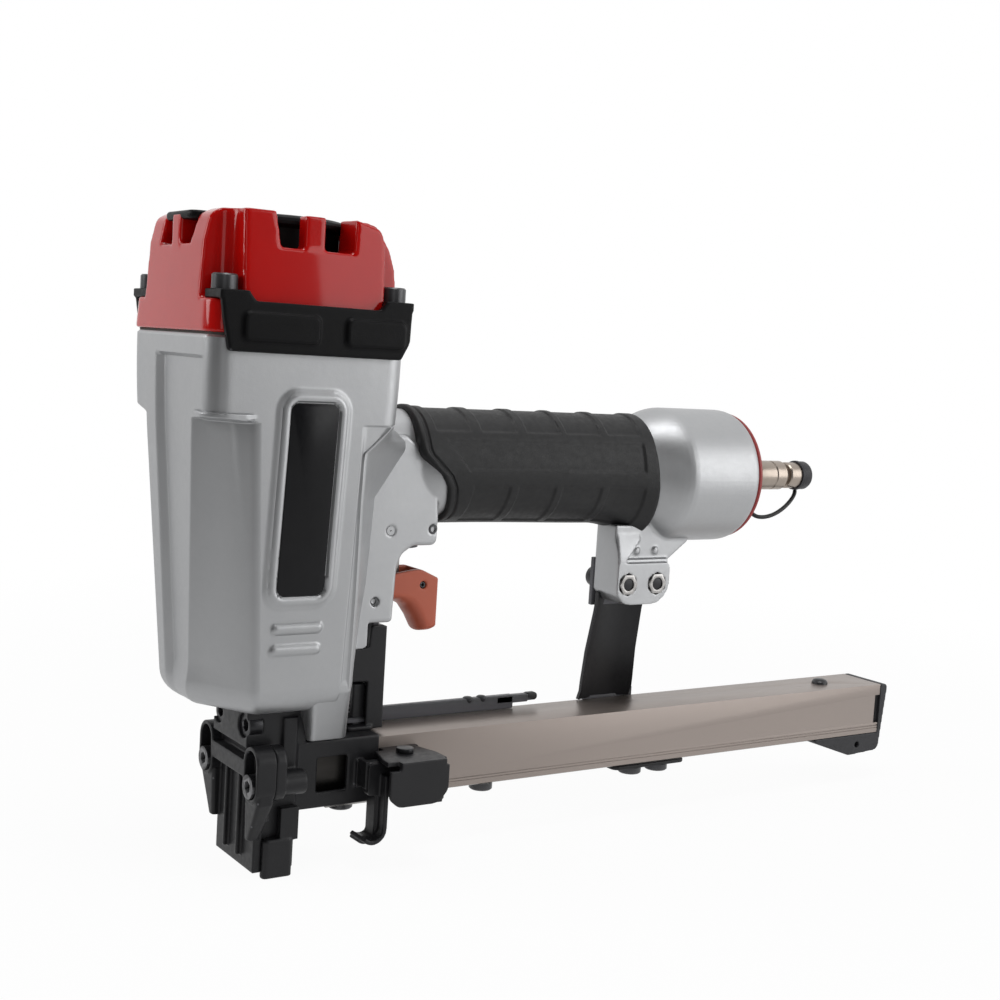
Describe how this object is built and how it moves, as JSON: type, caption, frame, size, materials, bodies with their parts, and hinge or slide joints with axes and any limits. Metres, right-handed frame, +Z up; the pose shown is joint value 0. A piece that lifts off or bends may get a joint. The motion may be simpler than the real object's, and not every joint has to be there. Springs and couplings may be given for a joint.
{
  "type": "pneumatic stapler",
  "caption": "Hand-held pneumatic stapler with an upright cylinder housing, a red cap, a rubber-gripped handle with an air inlet and a long rear-loading staple magazine.",
  "frame": {"origin": "centre of the driver's outlet, on the underside of the front plate at the nose tip", "axes": "+X from the driver to the rear end of the magazine, +Y to the tool's right side, +Z up along the driver"},
  "size_m": [0.3572, 0.0816, 0.2332],
  "materials": {
    "silver_paint": "satin silver paint on an aluminium die casting",
    "red_paint": "glossy red paint on an aluminium casting",
    "black_plastic": "fine-grained black plastic",
    "black_steel": "black phosphated or painted steel",
    "black_rubber": "matt moulded rubber",
    "seal_rubber": "seal rubber",
    "gasket_fibre": "gasket sheet",
    "black_oxide": "black oxide screw steel",
    "bright_steel": "ground steel",
    "nickel": "nickel plating",
    "anodised": "brown-grey anodised extrusion",
    "bare_aluminium": "machined aluminium",
    "orange_paint": "brick orange paint",
    "red_plastic": "dull red plastic",
    "dark_plastic": "dark grey plastic",
    "label_black": "bare black plate",
    "spring_steel": "spring wire"
  },
  "bodies": {
    "housing": {"main_housing": "silver_paint", "label_plate": "label_black", "cylinder_cap": "red_paint", "exhaust_deflector": "black_plastic", "left_guard": "black_plastic", "right_guard": "black_plastic", "cap_screws": "black_oxide", "cap_gasket": "gasket_fibre", "cylinder_sleeve": "bare_aluminium", "cylinder_seals": "seal_rubber", "piston_bumper": "seal_rubber", "head_valve_spring": "spring_steel", "grip_sleeve": "black_rubber", "end_ring": "red_plastic", "handle_end_cap": "dark_plastic", "air_plug": "nickel", "dust_cap_strap": "black_rubber", "trigger_pin": "black_oxide", "valve_body": "dark_plastic", "valve_spring": "spring_steel", "valve_pins": "bright_steel", "front_plate": "black_steel", "nose_screws": "black_oxide", "nose_body": "black_steel", "bracket_screws": "black_oxide", "arm_guide": "black_steel", "contact_spring": "spring_steel", "inner_rail": "bright_steel", "bottom_bar": "bright_steel", "rail_screws": "black_oxide", "guide_strip": "black_steel", "strut": "black_steel", "strut_bolts": "black_oxide", "strut_nuts": "black_oxide", "strut_foot_screws": "black_oxide"},
    "head_valve": {"head_valve": "dark_plastic", "head_valve_seal": "seal_rubber"},
    "piston": {"piston": "bare_aluminium", "piston_ring": "dark_plastic", "driver_blade": "bright_steel", "driver_pin": "bright_steel"},
    "trigger": {"trigger": "orange_paint", "lever_pin": "black_oxide"},
    "trigger_lever": {"trigger_lever": "black_steel"},
    "valve_stem": {"valve_stem": "bright_steel"},
    "contact": {"contact_foot": "black_steel", "contact_arm": "black_steel"},
    "cover": {"magazine_cover": "anodised", "magazine_end_cap": "dark_plastic", "cover_screw": "black_oxide", "latch_bracket": "black_steel", "latch_pin": "black_oxide", "latch_spring": "spring_steel", "pusher_spring": "spring_steel"},
    "pusher": {"pusher": "bright_steel"},
    "latch": {"latch_lever": "black_steel"},
    "dust_cap": {"dust_cap": "dark_plastic"}
  },
  "joints": [
    {"name": "head_valve_lift", "type": "slide", "parent": "housing", "child": "head_valve", "axis": [0, 0, 1], "range_m": [0, 0.0045], "stiffness_N_per_m": 1500, "springref_m": -0.004, "deforming": ["head_valve_spring"]},
    {"name": "piston_stroke", "type": "slide", "parent": "housing", "child": "piston", "axis": [0, 0, -1], "range_m": [0, 0.045]},
    {"name": "trigger_pull", "type": "hinge", "parent": "housing", "child": "trigger", "pos_m": [0.04, 0, 0.095], "axis": [0, -1, 0], "range_deg": [0, 12], "stiffness_Nm_per_rad": 0.8, "springref_deg": -8.59},
    {"name": "lever_tilt", "type": "hinge", "parent": "trigger", "child": "trigger_lever", "pos_m": [0.065, 0, 0.099], "axis": [0, 1, 0], "range_deg": [0, 5]},
    {"name": "valve_slide", "type": "slide", "parent": "housing", "child": "valve_stem", "axis": [0, 0, 1], "range_m": [0, 0.0032], "deforming": ["valve_spring"]},
    {"name": "contact_slide", "type": "slide", "parent": "housing", "child": "contact", "axis": [0, 0, 1], "range_m": [0, 0.002], "stiffness_N_per_m": 800, "springref_m": -0.003, "deforming": ["contact_spring"]},
    {"name": "cover_slide", "type": "slide", "parent": "housing", "child": "cover", "axis": [1, 0, 0], "range_m": [0, 0.24]},
    {"name": "pusher_slide", "type": "slide", "parent": "cover", "child": "pusher", "axis": [1, 0, 0], "range_m": [0, 0.2], "stiffness_N_per_m": 15, "springref_m": -0.15, "deforming": ["pusher_spring"]},
    {"name": "latch_turn", "type": "hinge", "parent": "cover", "child": "latch", "pos_m": [0.0528, -0.0205, 0.032], "axis": [0, 0, 1], "range_deg": [0, 20], "stiffness_Nm_per_rad": 0.08, "springref_deg": -14.32, "deforming": ["latch_spring"]},
    {"name": "dust_cap_pull", "type": "slide", "parent": "housing", "child": "dust_cap", "axis": [1, 0, 0], "range_m": [0, 0.012], "deforming": ["dust_cap_strap"]}
  ],
  "couplings": [
    {"joint": "lever_tilt", "follows": "contact_slide", "rad_per_m": 43},
    {"joint": "valve_slide", "follows": "trigger_pull", "m_per_rad": 0.015}
  ]
}
